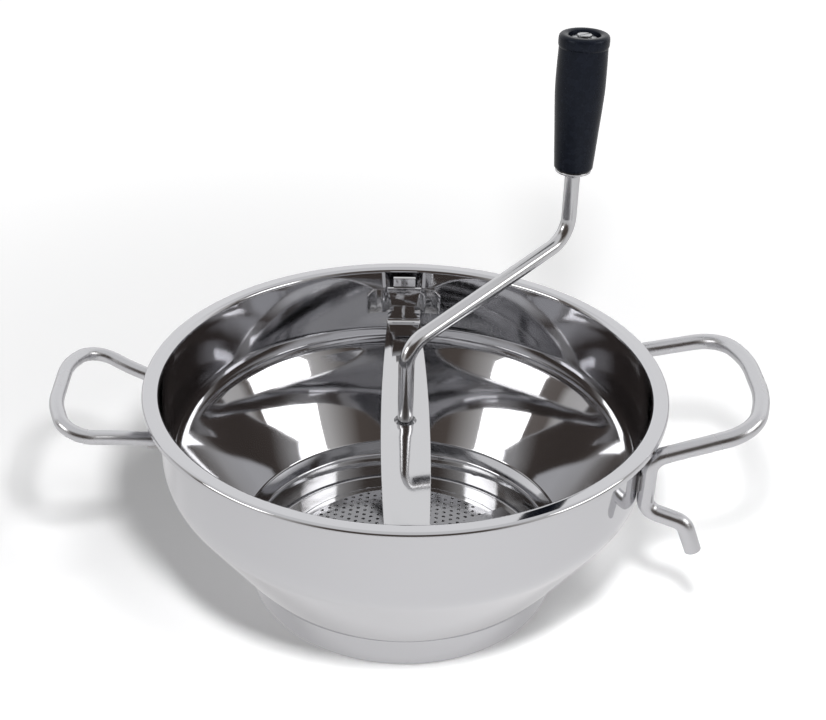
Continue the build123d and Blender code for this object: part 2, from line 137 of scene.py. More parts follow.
# ---- sizes of the grip ------------------------------------------------------------------
GRIP_SIDE = [
    (9.9, 203.6),
    (10.55, 213.0),
    (11.3, 224.8),
    (12.0, 235.0),
    (12.5, 244.8),
    (12.45, 256.0),
    (12.2, 265.2),
]
GRIP_LIP = [
    (12.15, 265.8),
    (12.4, 266.3),
    (12.6, 267.2),
    (12.6, 270.0),
    (12.2, 271.4),
    (11.2, 272.1),
    (10.2, 272.2),
]
GRIP_RECESS = [
    (8.7, 272.1),
    (8.0, 271.6),
    (7.9, 270.8),
    (7.9, 269.2),
    (4.08, 269.2),
    (4.08, 202.8),
    (9.1, 202.8),
    (9.5, 203.0),
]

# ---- sizes of the blade and the spring --------------------------------------------------
BLADE_SHEET = 1.4
BLADE_RADIUS = 73.0
BLADE_INNER = 7.22
BLADE_GAP = 0.5
BLADE_RISE = 17.0
BLADE_CURL = 1.25
BLADE_SWEEP = math.radians(165.0)
BLADE_NARROWING = 0.28
BLADE_STATIONS = 72                 # round the hub
BLADE_SPANS = 14                    # from the hub outwards
SPRING_RADIUS = 6.6
SPRING_WIRE = 0.9
SPRING_LOW = 38.1
SPRING_HIGH = 87.4
SPRING_TURNS = 4                    # in each half

# ---- camera and studio ------------------------------------------------------------------
CAMERA_PLACE = (-0.01094, -0.55933, 0.44689)
CAMERA_DOWN = math.radians(60.21)
CAMERA_HEADING = math.radians(-1.45)
CAMERA_ROLL = math.radians(1.37)
CAMERA_LENS = 56.66
FILM_WIDTH = 36.0

# Colour of the studio as polished metal sees it: from straight in front of the object (0) round to
# straight behind it (1). Then how much of it the ceiling takes over, from the horizon (0) to overhead (1).
STUDIO_ROUND = [
    (0.0, (0.085, 0.070, 0.062)),
    (0.07, (0.10, 0.083, 0.074)),
    (0.11, (0.26, 0.245, 0.235)),
    (0.19, (0.58, 0.57, 0.56)),
    (0.26, (0.60, 0.59, 0.58)),
    (0.42, (0.17, 0.15, 0.14)),
    (0.49, (0.15, 0.13, 0.12)),
    (0.53, (0.52, 0.51, 0.50)),
    (0.62, (0.60, 0.59, 0.585)),
    (0.68, (0.98, 0.98, 0.99)),
]
STUDIO_UP = [(0.0, 0.0), (0.66, 0.0), (0.80, 1.0)]
STUDIO_CEILING = (0.80, 0.80, 0.81)
STUDIO_FILL = 0.18                  # what everything else is lit by
NEARLY_ONE = 1.0001                 # keeps the level part of a direction above nothing, straight overhead

# Distances in the studio are in metres.
PAPER = (0.92, 0.92, 0.925)
PAPER_ROUGHNESS = 0.9
PAPER_SHEEN = 0.1
PAPER_REACH = 6.0                   # from the middle to an edge
PAPER_DROP = 0.0002                 # how far the paper lies under the foot
FOOT_INSIDE = 0.0785                # no paper glows under the foot
GLOW_FROM = 0.26                    # the paper's whitening grows between these radii
GLOW_TO = 0.80
GLOW_NEAR = 0.08                    # and from this strength to that
GLOW_FAR = 0.75
MIRRORED_PAPER = (0.98, 0.97, 0.98)  # the even paper that the metal mirrors, and its share
MIRRORED_STRENGTH = 0.76
MIRRORED_SHARE = 0.75
SOFTBOX_GLARE = 3.2                 # brightness of a softbox's face
SOFTBOX_HEIGHT = 0.27
LEFT_WIDTH = 0.42
RIGHT_WIDTH = 0.50
HIGH_SIZE = 0.34
NEAR_SIZE = 0.07
HIGH_POWER = 7.8                    # in watts
NEAR_POWER = 2.5
NEAR_SPREAD = 150.0                 # in degrees
MIRROR_BOUNCES = 8                  # for steel seen in steel


# ---- lines ------------------------------------------------------------------------------
def bent_line(points, bends, facet=FINE_BEND, run_step=RUN_STEP):
    """Straight runs joined by tangent arcs, as a list of points no further apart than run_step."""
    corners = [Vector(p) if len(p) == 3 else Vector((p[0], 0.0, p[1])) for p in points]
    line = [corners[0]]
    for here, radius in zip(range(1, len(corners) - 1), bends):
        into = (corners[here] - corners[here - 1]).normalized()
        out = (corners[here + 1] - corners[here]).normalized()
        turn = into.angle(out)
        if turn < 1e-4:
            line.append(corners[here])
            continue
        reach = radius * math.tan(turn / 2)
        start = corners[here] - into * reach
        centre = start + (out - into * into.dot(out)).normalized() * radius
        axis = into.cross(out).normalized()
        count = max(2, math.ceil(turn / facet))
        for step in range(count + 1):
            line.append(centre + Matrix.Rotation(turn * step / count, 3, axis) @ (start - centre))
    line.append(corners[-1])
    return divided(line, run_step)


def divided(line, run_step):
    """Long runs cut into shorter ones, so that a smooth surface keeps its straight parts straight."""
    result = [line[0]]
    for a, b in zip(line, line[1:]):
        count = max(1, math.ceil((b - a).length / run_step))
        result += [a.lerp(b, step / count) for step in range(1, count + 1)]
    return result


def sheet_outline(line, thickness):
    """The closed outline of a sheet whose middle line is given in the XZ plane."""
    left, right = [], []
    for here, point in enumerate(line):
        before = line[max(here - 1, 0)]
        after = line[min(here + 1, len(line) - 1)]
        along = (after - before).normalized()
        across = Vector((-along.z, 0.0, along.x)) * thickness / 2
        left.append(point + across)
        right.append(point - across)
    return left + right[::-1]


def eased(p, q, r, s, t):
    """A value on its smooth way from q (t is 0) to r (t is 1), coming from p and going on to s."""
    square = (2 * p - 5 * q + 4 * r - s) * t**2
    cube = (3 * q - p - 3 * r + s) * t**3
    return 0.5 * (2 * q + (r - p) * t + square + cube)


def smooth_through(points, steps=6):
    """A smooth line through (radius, height) points."""
    padded = [points[0]] + list(points) + [points[-1]]
    result = []
    for a, b, c, d in zip(padded, padded[1:], padded[2:], padded[3:]):
        for step in range(steps):
            result.append(tuple(eased(*ends, step / steps) for ends in zip(a, b, c, d)))
    return result + [points[-1]]


# ---- Geometry Nodes ---------------------------------------------------------------------
SOCKETS = {
    "geometry": "NodeSocketGeometry",
    "number": "NodeSocketFloat",
    "count": "NodeSocketInt",
    "material": "NodeSocketMaterial",
}


class Tree:
    """A Geometry Nodes tree under construction."""

    def __init__(self, name, **inputs):
        self.group = bpy.data.node_groups.new(name, "GeometryNodeTree")
        self.group.interface.new_socket("Geometry", in_out="INPUT", socket_type=SOCKETS["geometry"])
        for label, kind in inputs.items():
            title = label.replace("_", " ").capitalize()
            self.group.interface.new_socket(title, in_out="INPUT", socket_type=SOCKETS[kind])
        self.group.interface.new_socket("Geometry", in_out="OUTPUT", socket_type=SOCKETS["geometry"])
        self.inputs = self.group.nodes.new("NodeGroupInput").outputs

    def add(self, kind, settings=None, **sockets):
        """Adds a node. Socket values are given by name or by number, as sockets or plain values."""
        node = self.group.nodes.new(kind)
        for key, value in (settings or {}).items():
            setattr(node, key, value)
        for key, value in sockets.items():
            numbered = key[0] == "n" and key[1:].isdigit()
            socket = node.inputs[int(key[1:]) if numbered else key.replace("_", " ")]
            if isinstance(value, bpy.types.NodeSocket):
                self.group.links.new(value, socket)
            else:
                socket.default_value = value
        return node.outputs

    def maths(self, operation, a, b=0.0):
        return self.add("ShaderNodeMath", {"operation": operation}, n0=a, n1=b)[0]

    def section(self, around, radius):
        """The round section of a rod or wire."""
        circle = "GeometryNodeCurvePrimitiveCircle"
        return self.add(circle, {"mode": "RADIUS"}, Resolution=around, Radius=radius)[0]

    def finish(self, geometry):
        """Ends the tree: instances made real, and the material set."""
        realized = self.add("GeometryNodeRealizeInstances", Geometry=geometry)[0]
        done = self.add("GeometryNodeSetMaterial", Geometry=realized, Material=self.inputs["Material"])[0]
        output = self.group.nodes.new("NodeGroupOutput")
        self.group.links.new(done, output.inputs[0])
        return self.group


def turned_tree():
    """Spins an outline, given as a row of vertices in the XZ plane, about the Z axis."""
    tree = Tree("turned piece", around="count", material="material")
    outline = tree.inputs["Geometry"]
    rows = tree.add("GeometryNodeAttributeDomainSize", Geometry=outline)["Point Count"]
    columns = tree.maths("ADD", tree.inputs["Around"], 1.0)
    grid = tree.add("GeometryNodeMeshGrid", Vertices_X=columns, Vertices_Y=rows)["Mesh"]
    index = tree.add("GeometryNodeInputIndex")[0]
    row = tree.maths("MODULO", index, rows)
    column = tree.maths("FLOOR", tree.maths("DIVIDE", tree.maths("ADD", index, 0.5), rows))
    place = tree.add("GeometryNodeInputPosition")[0]
    sample = tree.add(
        "GeometryNodeSampleIndex",
        {"data_type": "FLOAT_VECTOR"},
        Geometry=outline,
        Value=place,
        Index=row,
    )
    radius_height = tree.add("ShaderNodeSeparateXYZ", Vector=sample[0])
    angle = tree.maths("MULTIPLY", tree.maths("DIVIDE", column, tree.inputs["Around"]), math.tau)
    x = tree.maths("MULTIPLY", radius_height["X"], tree.maths("COSINE", angle))
    y = tree.maths("MULTIPLY", radius_height["X"], tree.maths("SINE", angle))
    spun = tree.add("ShaderNodeCombineXYZ", X=x, Y=y, Z=radius_height["Z"])[0]
    moved = tree.add("GeometryNodeSetPosition", Geometry=grid, Position=spun)[0]
    welded = tree.add("GeometryNodeMergeByDistance", Geometry=moved, Distance=WELD)[0]
    return tree.finish(welded)


def rod_tree():
    """Sweeps a round section along a line given as a row of joined vertices."""
    tree = Tree("bent rod", radius="number", around="count", material="material")
    path = tree.add("GeometryNodeMeshToCurve", Mesh=tree.inputs["Geometry"])[0]
    section = tree.section(tree.inputs["Around"], tree.inputs["Radius"])
    tube = tree.add("GeometryNodeCurveToMesh", Curve=path, Profile_Curve=section, Fill_Caps=True)[0]
    return tree.finish(tube)


def coil_tree():
    """A coil of round wire standing on a given height."""
    tree = Tree(
        "spring coil",
        turns="number",
        height="number",
        radius="number",
        wire="number",
        base="number",
        material="material",
    )
    ask = tree.inputs
    spiral = tree.add(
        "GeometryNodeCurveSpiral",
        Resolution=COIL_FACETS,
        Rotations=ask["Turns"],
        Start_Radius=ask["Radius"],
        End_Radius=ask["Radius"],
        Height=ask["Height"],
    )[0]
    section = tree.section(WIRE_FACETS, ask["Wire"])
    wire = tree.add("GeometryNodeCurveToMesh", Curve=spiral, Profile_Curve=section, Fill_Caps=True)[0]
    lift = tree.add("ShaderNodeCombineXYZ", Z=ask["Base"])[0]
    return tree.finish(tree.add("GeometryNodeTransform", Geometry=wire, Translation=lift)[0])


def perforation_tree():
    """Lays a tile on a hexagonal lattice between two radii, and lifts it to the disc's cone."""
    tree = Tree(
        "sieve perforations",
        pitch="number",
        from_radius="number",
        to_radius="number",
        cone_foot_radius="number",
        cone_foot_height="number",
        cone_slope="number",
        material="material",
    )
    ask = tree.inputs
    row_pitch = tree.maths("MULTIPLY", ask["Pitch"], math.sqrt(3.0))
    lattice = tree.group.nodes.new("GeometryNodeJoinGeometry")
    for across, along in LATTICES:
        grid = tree.add(
            "GeometryNodeMeshGrid",
            Size_X=tree.maths("MULTIPLY", ask["Pitch"], across - 1.0),
            Size_Y=tree.maths("MULTIPLY", row_pitch, along - 1.0),
            Vertices_X=across,
            Vertices_Y=along,
        )["Mesh"]
        tree.group.links.new(grid, lattice.inputs[0])
    place = tree.add("GeometryNodeInputPosition")[0]
    radius = tree.add("ShaderNodeVectorMath", {"operation": "LENGTH"}, n0=place)["Value"]
    inside = tree.maths("LESS_THAN", radius, ask["From radius"])
    outside = tree.maths("GREATER_THAN", radius, ask["To radius"])
    unwanted = tree.maths("ADD", inside, outside)
    wanted = tree.add(
        "GeometryNodeDeleteGeometry",
        {"domain": "POINT"},
        Geometry=lattice.outputs[0],
        Selection=unwanted,
    )[0]
    tiles = tree.add("GeometryNodeInstanceOnPoints", Points=wanted, Instance=ask["Geometry"])[0]
    sheet = tree.add("GeometryNodeRealizeInstances", Geometry=tiles)[0]
    welded = tree.add("GeometryNodeMergeByDistance", Geometry=sheet, Distance=TILE_WELD * MM)[0]
    fall = tree.maths("MULTIPLY", tree.maths("SUBTRACT", radius, ask["Cone foot radius"]), ask["Cone slope"])
    height = tree.maths("SUBTRACT", ask["Cone foot height"], fall)
    lift = tree.add("ShaderNodeCombineXYZ", Z=height)[0]
    return tree.finish(tree.add("GeometryNodeSetPosition", Geometry=welded, Offset=lift)[0])


TURNED = turned_tree()
ROD = rod_tree()
COIL = coil_tree()
PERFORATIONS = perforation_tree()


def grown(start_mesh, tree, **inputs):
    """The plain mesh that a tree makes from a starting mesh."""
    seed = bpy.data.objects.new("seed", start_mesh)
    bpy.context.scene.collection.objects.link(seed)
    modifier = seed.modifiers.new("shape", "NODES")
    modifier.node_group = tree
    for item in tree.interface.items_tree:
        label = item.name.lower().replace(" ", "_")
        if item.in_out == "INPUT" and label in inputs:
            modifier[item.identifier] = inputs[label]
    bpy.context.view_layer.update()
    graph = bpy.context.evaluated_depsgraph_get()
    mesh = bpy.data.meshes.new_from_object(seed.evaluated_get(graph), depsgraph=graph)
    bpy.data.objects.remove(seed)
    return mesh


def row_of_points(points, closed):
    mesh = bpy.data.meshes.new("line")
    places = [Vector(p) * MM for p in points]
    edges = [(i, i + 1) for i in range(len(places) - 1)]
    if closed:
        places.append(places[0])
    mesh.from_pydata(places, edges, [])
    return mesh


def tidied(mesh, weld=WELD):
    """Merges doubled vertices and points every face outwards."""
    shape = bmesh.new()
    shape.from_mesh(mesh)
    bmesh.ops.remove_doubles(shape, verts=shape.verts, dist=weld)
    bmesh.ops.dissolve_degenerate(shape, edges=shape.edges, dist=weld)
    bmesh.ops.recalc_face_normals(shape, faces=shape.faces)
    shape.to_mesh(mesh)
    shape.free()
    return mesh


def turned(outline, finish, around):
    """A turned piece from a closed outline of (radius, height) or XZ points."""
    points = [p if isinstance(p, Vector) else Vector((p[0], 0.0, p[1])) for p in outline]
    return tidied(grown(row_of_points(points, True), TURNED, around=around, material=finish))


def turned_sheet(line, thickness, finish, around):
    return turned(sheet_outline(line, thickness), finish, around)


def bent_rod(line, radius, finish, around=HANDLE_FACETS):
    path = row_of_points(line, False)
    return tidied(grown(path, ROD, radius=radius * MM, around=around, material=finish))


def joined(*meshes):
    shape = bmesh.new()
    for mesh in meshes:
        shape.from_mesh(mesh)
    whole = bpy.data.meshes.new("joined")
    shape.to_mesh(whole)
    shape.free()
    return whole


def at_grip(mesh):
    """Moves a mesh from the bowl's axis to the grip's."""
    place = Vector((math.cos(CRANK_ANGLE), math.sin(CRANK_ANGLE), 0.0)) * CRANK_REACH * MM
    mesh.transform(Matrix.Translation(place))
    return mesh


def piece(name, mesh, finish, slot, body, *nodes, crease=CREASE):
    """A finished piece that rides on a body and stands for the named CAD nodes."""
    mesh.materials.clear()
    mesh.materials.append(finish)
    mesh.polygons.foreach_set("material_index", [0] * len(mesh.polygons))
    mesh.polygons.foreach_set("use_smooth", [True] * len(mesh.polygons))
    mesh.set_sharp_from_angle(angle=crease)
    thing = bpy.data.objects.new(name, mesh)
    bpy.context.scene.collection.objects.link(thing)
    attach(thing, body)
    if nodes:
        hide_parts(*nodes)
    return thing


def softened(node, name, finish, slot, body, edge=0.25, segments=3):
    """A copy of a CAD node with its sharp edges broken by a small round."""
    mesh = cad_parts[node].data.copy()
    shape = bmesh.new()
    shape.from_mesh(mesh)
    bmesh.ops.remove_doubles(shape, verts=shape.verts, dist=TRIM_WELD)
    bmesh.ops.dissolve_limit(shape, angle_limit=math.radians(0.4), verts=shape.verts, edges=shape.edges)
    shape.to_mesh(mesh)
    shape.free()
    seed = bpy.data.objects.new("seed", mesh)
    bpy.context.scene.collection.objects.link(seed)
    bevel = seed.modifiers.new("edge", "BEVEL")
    bevel.width = edge * MM
    bevel.segments = segments
    bevel.limit_method = "ANGLE"
    bevel.angle_limit = CREASE
    bpy.context.view_layer.update()
    graph = bpy.context.evaluated_depsgraph_get()
    rounded = bpy.data.meshes.new_from_object(seed.evaluated_get(graph), depsgraph=graph)
    bpy.data.objects.remove(seed)
    return piece(name, rounded, finish, slot, body, node, crease=TRIM_CREASE)


# ---- finishes ---------------------------------------------------------------------------
POLISH_CLOUDS = 38.0                # uneven patches of the polish, per metre
MOTTLE_SPOTS = 260.0                # spots of the plastic's mottling, per metre
SKIN_DEPTH = 0.00002                # of the plastic's skin, in metres


def metal(name, colour, roughness, spread, waviness, wave_size, grain, grain_size):
    """Steel with a slightly uneven polish, the soft waves of drawn sheet and a fine grain."""
    material = bpy.data.materials.new(name)
    material.use_nodes = True
    nodes, links = material.node_tree.nodes, material.node_tree.links
    shader = nodes["Principled BSDF"]
    shader.inputs["Base Color"].default_value = (*colour, 1.0)
    shader.inputs["Metallic"].default_value = 1.0
    place = nodes.new("ShaderNodeTexCoord")
    cloud = nodes.new("ShaderNodeTexNoise")
    cloud.inputs["Scale"].default_value = POLISH_CLOUDS
    cloud.inputs["Detail"].default_value = 3.0
    polish = nodes.new("ShaderNodeMapRange")
    polish.inputs["To Min"].default_value = roughness - spread
    polish.inputs["To Max"].default_value = roughness + spread
    links.new(place.outputs["Object"], cloud.inputs["Vector"])
    links.new(cloud.outputs["Fac"], polish.inputs["Value"])
    links.new(polish.outputs["Result"], shader.inputs["Roughness"])
    waves = nodes.new("ShaderNodeTexNoise")
    waves.inputs["Scale"].default_value = 1.0 / wave_size
    waves.inputs["Detail"].default_value = 1.0
    wave_bump = nodes.new("ShaderNodeBump")
    wave_bump.inputs["Strength"].default_value = 1.0
    wave_bump.inputs["Distance"].default_value = waviness
    fine = nodes.new("ShaderNodeTexNoise")
    fine.inputs["Scale"].default_value = 1.0 / grain_size
    fine.inputs["Detail"].default_value = 2.0
    fine_bump = nodes.new("ShaderNodeBump")
    fine_bump.inputs["Strength"].default_value = 1.0
    fine_bump.inputs["Distance"].default_value = grain
    links.new(place.outputs["Object"], waves.inputs["Vector"])
    links.new(place.outputs["Object"], fine.inputs["Vector"])
    links.new(waves.outputs["Fac"], wave_bump.inputs["Height"])
    links.new(fine.outputs["Fac"], fine_bump.inputs["Height"])
    links.new(wave_bump.outputs["Normal"], fine_bump.inputs["Normal"])
    links.new(fine_bump.outputs["Normal"], shader.inputs["Normal"])
    return material


def black_plastic():
    """Moulded gloss plastic: near black, with faint mottling and a soft clear skin."""
    material = bpy.data.materials.new("black moulded plastic")
    material.use_nodes = True
    nodes, links = material.node_tree.nodes, material.node_tree.links
    shader = nodes["Principled BSDF"]
    shader.inputs["Specular IOR Level"].default_value = 0.16
    shader.inputs["Specular Tint"].default_value = (0.80, 0.88, 1.0, 1.0)
    place = nodes.new("ShaderNodeTexCoord")
    mottle = nodes.new("ShaderNodeTexNoise")
    mottle.inputs["Scale"].default_value = MOTTLE_SPOTS
    mottle.inputs["Detail"].default_value = 4.0
    shade = nodes.new("ShaderNodeValToRGB")
    shade.color_ramp.elements[0].color = (0.0022, 0.0026, 0.004, 1.0)
    shade.color_ramp.elements[1].color = (0.0062, 0.0075, 0.012, 1.0)
    gloss = nodes.new("ShaderNodeMapRange")
    gloss.inputs["To Min"].default_value = 0.20
    gloss.inputs["To Max"].default_value = 0.34
    skin = nodes.new("ShaderNodeBump")
    skin.inputs["Strength"].default_value = 1.0
    skin.inputs["Distance"].default_value = SKIN_DEPTH
    links.new(place.outputs["Object"], mottle.inputs["Vector"])
    links.new(mottle.outputs["Fac"], shade.inputs["Fac"])
    links.new(shade.outputs["Color"], shader.inputs["Base Color"])
    links.new(mottle.outputs["Fac"], gloss.inputs["Value"])
    links.new(gloss.outputs["Result"], shader.inputs["Roughness"])
    links.new(mottle.outputs["Fac"], skin.inputs["Height"])
    links.new(skin.outputs["Normal"], shader.inputs["Normal"])
    return material


BOWL_STEEL = metal("polished bowl steel", (0.60, 0.60, 0.615), 0.055, 0.02, 0.00012, 0.035, 0.000002, 0.0012)
ROD_STEEL = metal("polished rod steel", (0.61, 0.61, 0.62), 0.17, 0.04, 0.00004, 0.02, 0.000003, 0.0008)
BAR_STEEL = metal("polished bar steel", (0.60, 0.60, 0.61), 0.06, 0.02, 0.00002, 0.03, 0.000003, 0.0008)
STRAP_STEEL = metal("bright strap steel", (0.60, 0.60, 0.61), 0.08, 0.02, 0.00012, 0.006, 0.000004, 0.0006)
HANDLE_STEEL = metal("satin handle steel", (0.60, 0.60, 0.615), 0.27, 0.04, 0.00004, 0.02, 0.000005, 0.0007)
DISC_STEEL = metal("pressed disc steel", (0.56, 0.56, 0.565), 0.12, 0.03, 0.00008, 0.012, 0.000004, 0.0006)
PRESSED_STEEL = metal("pressed sheet steel", (0.56, 0.56, 0.57), 0.20, 0.05, 0.00004, 0.015, 0.000006, 0.0006)
SPRING_STEEL = metal("drawn spring wire", (0.50, 0.50, 0.51), 0.24, 0.05, 0.00001, 0.01, 0.000006, 0.0005)
WELD_STEEL = metal("weld bead", (0.42, 0.41, 0.41), 0.38, 0.08, 0.0002, 0.003, 0.00002, 0.0005)
SCREW_STEEL = metal("zinc screw", (0.52, 0.53, 0.54), 0.30, 0.08, 0.00002, 0.004, 0.00001, 0.0004)
GRIP_PLASTIC = black_plastic()

POLISHED = "polished_steel"
SATIN = "satin_steel"
PLASTIC = "black_plastic"


# ---- bowl and handles -------------------------------------------------------------------
def make_bowl():
    line = bent_line(BOWL_LINE, BOWL_BENDS)
    mesh = turned_sheet(line, BOWL_SHEET, BOWL_STEEL, BOWL_FACETS)
    return piece("bowl_shell", mesh, BOWL_STEEL, POLISHED, "bowl_body", "bowl")


def loop_point(x, y, side, base, tilt, turn):
    """A point of a handle's loop, which lies on a plane that rises outwards."""
    height = base + tilt * (x - LOOP_DATUM)
    return Matrix.Rotation(math.radians(turn), 3, "Z") @ Vector((side * x, y, height))


def coped(mesh, ends):
    """Slides the vertices of a rod's ends along the rod until they meet the middle of the bowl's wall."""
    wall = WALL_MIDDLE * MM
    for end, along in ends:
        for vertex in mesh.vertices:
            offset = vertex.co - end * MM
            if abs(offset.dot(along)) > 1e-5 or offset.length > 8 * MM:
                continue
            flat = Vector((vertex.co.x, vertex.co.y))
            way = Vector((along.x, along.y))
            a, b, c = way.dot(way), 2 * flat.dot(way), flat.dot(flat) - wall**2
            slides = [(-b + sign * math.sqrt(b * b - 4 * a * c)) / (2 * a) for sign in (1, -1)]
            vertex.co += along * min(slides, key=abs)
    return mesh


def end_of(line, last):
    """A rod's end and its direction there."""
    a, b = (line[-1], line[-2]) if last else (line[0], line[1])
    return a, (a - b).normalized()


def make_plain_handle():
    corners = [loop_point(x, y, -1, PLAIN_BASE, PLAIN_TILT, PLAIN_TURN) for x, y in PLAIN_LOOP]
    line = bent_line(corners, PLAIN_BENDS)
    mesh = coped(bent_rod(line, PLAIN_ROD, HANDLE_STEEL), [end_of(line, False), end_of(line, True)])
    return piece("left_wire_handle", mesh, HANDLE_STEEL, POLISHED, "bowl_body", "plain_handle")


def make_hook_handle():
    corners = [loop_point(x, y, 1, HOOK_BASE, HOOK_TILT, HOOK_TURN) for x, y in HOOK_LOOP]
    leg_x, leg_y, _ = HOOK_LEG[0]
    rest = [
        (leg_x + run * math.cos(REST_HEADING), leg_y + run * math.sin(REST_HEADING), z)
        for run, z in REST_STEPS
    ]
    line = bent_line(corners + HOOK_LEG + rest, HOOK_BENDS)
    mesh = coped(bent_rod(line, HOOK_ROD, HANDLE_STEEL), [end_of(line, False)])
    return piece("right_wire_handle_with_hook", mesh, HANDLE_STEEL, POLISHED, "bowl_body", "hook_handle")


# ---- disc -------------------------------------------------------------------------------
def tile(with_hole):
    """One flat cell of the hexagonal lattice, with or without its round hole."""
    shape = bmesh.new()
    border = []
    hole = []
    for step in range(HOLE_FACETS):
        angle = math.radians(360.0 / HOLE_FACETS * step)
        reach = HOLE_PITCH / (math.sqrt(3.0) if step % 2 else 2.0)
        way = Vector((math.cos(angle), math.sin(angle), 0.0)) * MM
        border.append(shape.verts.new(way * reach))
        if with_hole:
            hole.append(shape.verts.new(way * HOLE_RADIUS))
    if with_hole:
        for step in range(HOLE_FACETS):
            after = (step + 1) % HOLE_FACETS
            shape.faces.new((hole[step], border[step], border[after], hole[after]))
    else:
        shape.faces.new(border)
    mesh = bpy.data.meshes.new("tile")
    shape.to_mesh(mesh)
    shape.free()
    return mesh


def tiled(with_hole, from_radius, to_radius):
    return grown(
        tile(with_hole),
        PERFORATIONS,
        pitch=HOLE_PITCH * MM,
        from_radius=from_radius * MM,
        to_radius=to_radius * MM,
        cone_foot_radius=DISC_CONE_FOOT[0] * MM,
        cone_foot_height=DISC_CONE_FOOT[1] * MM,
        cone_slope=DISC_CONE_SLOPE,
        material=DISC_STEEL,
    )


def make_disc():
    field = joined(
        tiled(True, FIRST_HOLES, LAST_HOLES),
        tiled(False, FIELD_INNER, FIRST_HOLES),
        tiled(False, LAST_HOLES, FIELD_OUTER),
    )
    tidied(field, weld=TILE_WELD * MM)
    field.transform(Matrix.Rotation(LATTICE_TURN, 4, "Z"))
    seed = bpy.data.objects.new("seed", field)
    bpy.context.scene.collection.objects.link(seed)
    wall = seed.modifiers.new("thickness", "SOLIDIFY")
    wall.thickness = DISC_SHEET * MM
    wall.offset = 0.0
    bpy.context.view_layer.update()
    graph = bpy.context.evaluated_depsgraph_get()
    solid = tidied(bpy.data.meshes.new_from_object(seed.evaluated_get(graph), depsgraph=graph))
    bpy.data.objects.remove(seed)
    margin = DISC_SHEET + 2 * DISC_LAP
    rim_line = bent_line(DISC_RIM_LINE, DISC_RIM_BENDS, run_step=DISC_RUN_STEP)
    hub_line = bent_line(DISC_HUB_LINE, DISC_HUB_BENDS, run_step=DISC_RUN_STEP)
    rim = turned_sheet(rim_line, margin, DISC_STEEL, DISC_RIM_FACETS)
    hub = turned_sheet(hub_line, margin, DISC_STEEL, DISC_HUB_FACETS)
    mesh = joined(solid, rim, hub)
    return piece("perforated_disc", mesh, DISC_STEEL, SATIN, "bowl_body", "sieve_disc")


# ---- crank, blade and spring ------------------------------------------------------------
def make_crank_rod():
    turn = Matrix.Rotation(CRANK_ANGLE, 3, "Z")
    line = [turn @ point for point in bent_line(CRANK_LINE, CRANK_BENDS)]
    pilot = turned(PILOT_LINE, ROD_STEEL, PILOT_FACETS)
    mesh = joined(bent_rod(line, CRANK_ROD, ROD_STEEL, CRANK_FACETS), pilot)
    return piece("bent_crank_rod", mesh, ROD_STEEL, POLISHED, "crank", "crank_rod")


def make_grip():
    side = smooth_through(GRIP_SIDE)
    lip = smooth_through(GRIP_LIP, 3)
    mesh = at_grip(turned(side + lip + GRIP_RECESS, GRIP_PLASTIC, GRIP_FACETS))
    return piece("moulded_grip", mesh, GRIP_PLASTIC, PLASTIC, "hand_grip", "grip")


def blade_height(radius, turn):
    cone = DISC_CONE_FOOT[1] + DISC_SHEET / 2 + DISC_CONE_SLOPE * (DISC_CONE_FOOT[0] - radius)
    return cone + BLADE_GAP + BLADE_RISE * turn**BLADE_CURL


def make_blade():
    """A ramp of sheet that climbs round the hub from its trailing edge to its leading edge."""
    shape = bmesh.new()
    stations = BLADE_STATIONS
    spans = BLADE_SPANS
    layers = []
    for lift in (0.0, BLADE_SHEET):
        grid = []
        for station in range(stations + 1):
            turn = station / stations
            outer = BLADE_RADIUS * (1 - BLADE_NARROWING * turn**4)
            angle = CRANK_ANGLE - BLADE_SWEEP * turn
            row = []
            for span in range(spans + 1):
                radius = BLADE_INNER + (outer - BLADE_INNER) * span / spans
                height = blade_height(radius, turn) + lift
                place = (radius * math.cos(angle), radius * math.sin(angle), height)
                row.append(shape.verts.new(Vector(place) * MM))
            grid.append(row)
        layers.append(grid)
    low, high = layers
    for grid in layers:
        for a, b in zip(grid, grid[1:]):
            for span in range(spans):
                shape.faces.new((a[span], a[span + 1], b[span + 1], b[span]))
    for here in range(stations):
        for span in (0, spans):
            shape.faces.new((low[here][span], low[here + 1][span], high[here + 1][span], high[here][span]))
    for end in (0, stations):
        for span in range(spans):
            shape.faces.new((low[end][span], low[end][span + 1], high[end][span + 1], high[end][span]))
    bmesh.ops.recalc_face_normals(shape, faces=shape.faces)
    mesh = bpy.data.meshes.new("blade")
    shape.to_mesh(mesh)
    shape.free()
    return piece("ramp_blade_sheet", mesh, DISC_STEEL, SATIN, "crank", "blade")


def make_spring():
    """Two halves: the lower stays on the crank's seat, and the upper follows the bar."""
    half = (SPRING_HIGH - SPRING_LOW) / 2
    parts = []
    for name, base, body in (("lower", SPRING_LOW, "spring_carrier"), ("upper", SPRING_LOW + half, "bar")):
        mesh = grown(
            bpy.data.meshes.new("empty"),
            COIL,
            turns=float(SPRING_TURNS),
            height=half * MM,
            radius=SPRING_RADIUS * MM,
            wire=SPRING_WIRE * MM,
            base=base * MM,
            material=SPRING_STEEL,
        )
        parts.append(piece(f"spring_{name}_half", tidied(mesh), SPRING_STEEL, SATIN, body, "spring"))
    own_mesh(parts[0])
    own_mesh(parts[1])
    return parts


